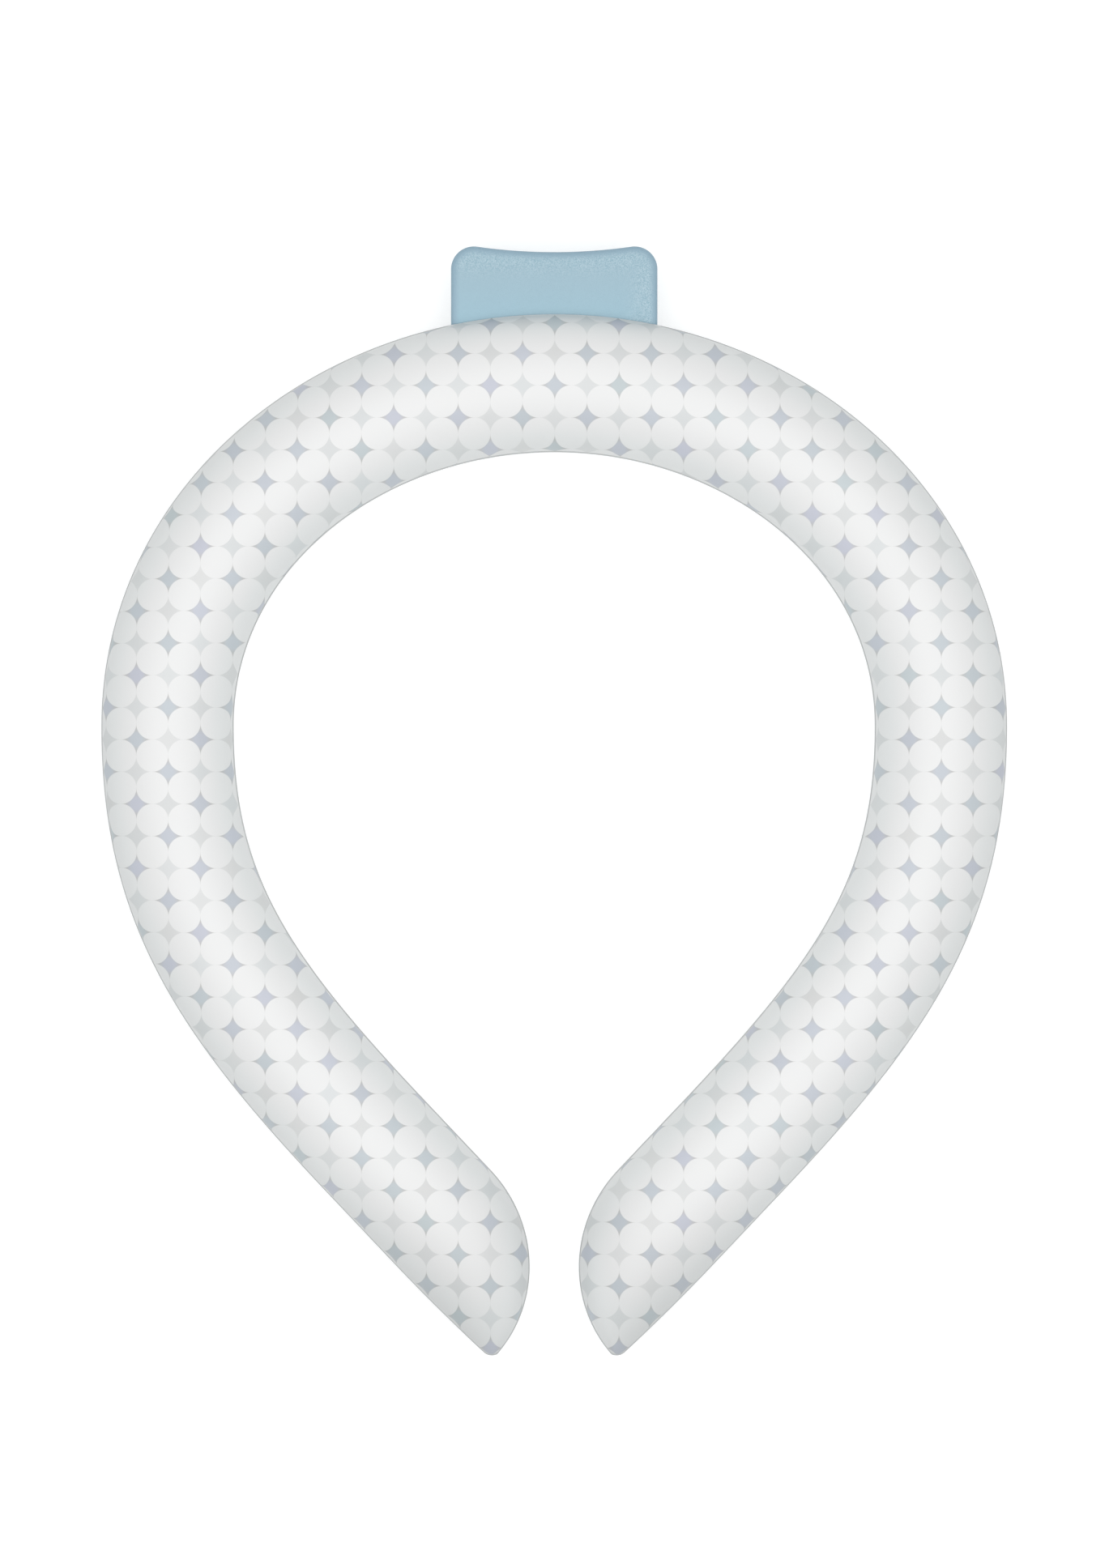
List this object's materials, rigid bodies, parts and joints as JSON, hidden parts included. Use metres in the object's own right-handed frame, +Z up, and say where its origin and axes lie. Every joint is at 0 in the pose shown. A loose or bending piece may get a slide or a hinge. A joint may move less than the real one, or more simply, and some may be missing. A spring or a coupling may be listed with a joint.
{
  "type": "cooling neck ring",
  "caption": "Soft gel-filled tube bent to a loop that opens at the front, worn round the neck to cool it, with a flat tab at the back.",
  "frame": {"origin": "on the surface that the ring lies on, under the middle of its bounding box", "axes": "+Z up from the surface; +Y towards the back of the neck and the tab; the mouth is at -Y; +X across, and the ring is its own mirror image in X"},
  "size_m": [0.1676, 0.2054, 0.0246],
  "materials": {
    "printed_tube_skin": "soft clear plastic skin with a printed grid of pale dots, satin",
    "tab_plastic": "light blue soft plastic with a fine matte grain"
  },
  "bodies": {
    "root": {"cooling_tube": "printed_tube_skin", "back_tab": "tab_plastic"}
  },
  "joints": []
}
